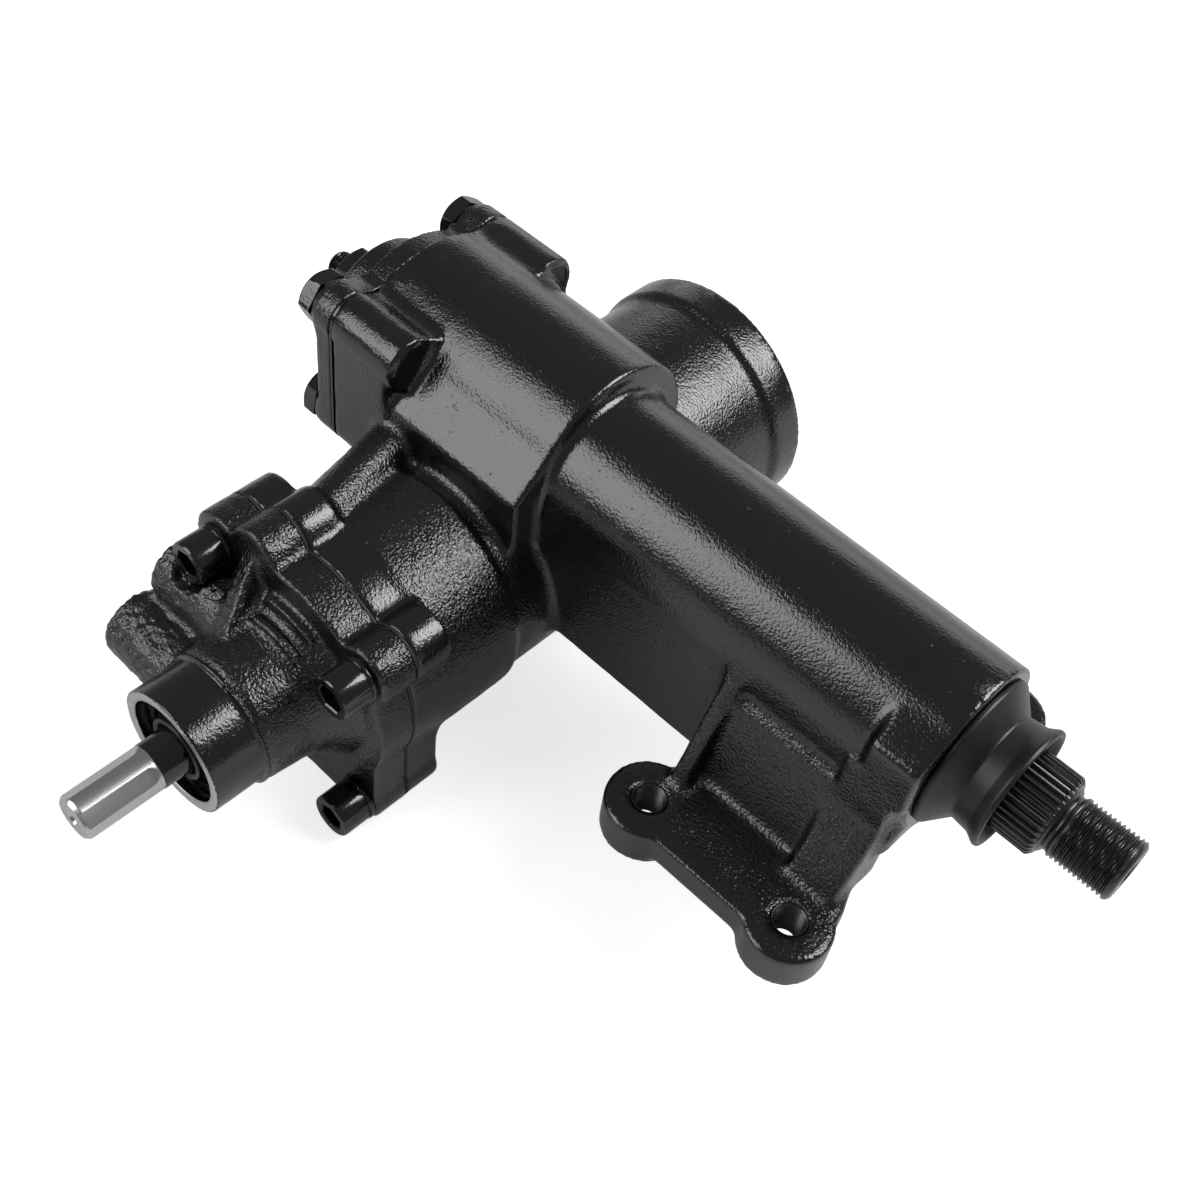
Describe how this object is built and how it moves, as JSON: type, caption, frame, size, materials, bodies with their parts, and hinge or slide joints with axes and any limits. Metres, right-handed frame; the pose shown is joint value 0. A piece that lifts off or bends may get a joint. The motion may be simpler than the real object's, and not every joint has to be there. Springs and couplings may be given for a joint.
{
  "type": "steering gearbox",
  "caption": "Integral power steering gearbox with a recirculating-ball worm, rack piston and toothed sector shaft in a black cast housing with a rail bracket.",
  "frame": {"origin": "Centre of the four tapped rail bolt holes, on the chassis rail face of the bracket lobes.", "axes": "+X runs along the sector shaft towards its splined and threaded end, +Y along the worm away from the input shaft, +Z away from the chassis rail."},
  "size_m": [0.3887, 0.3285, 0.151],
  "materials": {
    "black_enamel": "gloss black enamel over sand-cast iron",
    "bright_steel": "machined and ground",
    "dark_steel": "oiled machined steel",
    "black_oxide": "black oxide",
    "rubber": "satin",
    "bronze": "machined bronze",
    "gasket": "pressed fibre",
    "ring_plastic": "filled seal plastic"
  },
  "bodies": {
    "housing": {"gear_housing": "black_enamel", "side_cover": "black_enamel", "cover_gasket": "gasket", "cover_bolts": "black_oxide", "lash_adjuster": "black_oxide", "adjuster_nut": "black_oxide", "cover_bushing": "bronze", "inner_bushing": "bronze", "outer_bushing": "bronze", "sector_seal": "rubber", "dust_boot": "rubber", "valve_housing": "black_enamel", "valve_gasket": "gasket", "valve_screws": "black_oxide", "input_seal": "rubber", "seal_ring": "bright_steel", "input_bearing": "bright_steel", "lower_thrust_bearing": "bright_steel", "upper_thrust_bearing": "bright_steel", "end_plug": "black_oxide", "end_plug_oring": "rubber", "end_plug_ring": "bright_steel"},
    "sector": {"sector_shaft": "dark_steel"},
    "rack": {"rack_piston": "bright_steel", "piston_ring": "ring_plastic", "rack_end_plug": "black_oxide", "ball_guide": "bright_steel", "guide_clamp": "bright_steel", "clamp_screws": "black_oxide", "bearing_balls": "bright_steel"},
    "worm": {"worm_shaft": "bright_steel", "valve_sleeve": "bright_steel", "sleeve_rings": "ring_plastic", "sleeve_pin": "bright_steel"},
    "input": {"input_shaft": "bright_steel", "torsion_bar": "bright_steel", "torsion_pin": "bright_steel"}
  },
  "joints": [
    {"name": "sector_turn", "type": "hinge", "parent": "housing", "child": "sector", "pos_m": [0.038, 0.002, 0.067], "axis": [1, 0, 0], "range_deg": [-45, 45]},
    {"name": "rack_slide", "type": "slide", "parent": "housing", "child": "rack", "axis": [0, 1, 0], "range_m": [-0.0213, 0.0213]},
    {"name": "worm_turn", "type": "hinge", "parent": "housing", "child": "worm", "pos_m": [-0.162, -0.098, 0.015], "axis": [0, 1, 0], "range_deg": [-637, 637]},
    {"name": "torsion_twist", "type": "hinge", "parent": "worm", "child": "input", "pos_m": [-0.162, -0.148, 0.015], "axis": [0, 1, 0], "range_deg": [-4, 4], "stiffness_Nm_per_rad": 60}
  ],
  "couplings": [
    {"joint": "rack_slide", "follows": "sector_turn", "m_per_rad": 0.027},
    {"joint": "worm_turn", "follows": "sector_turn", "ratio": -14.137}
  ]
}
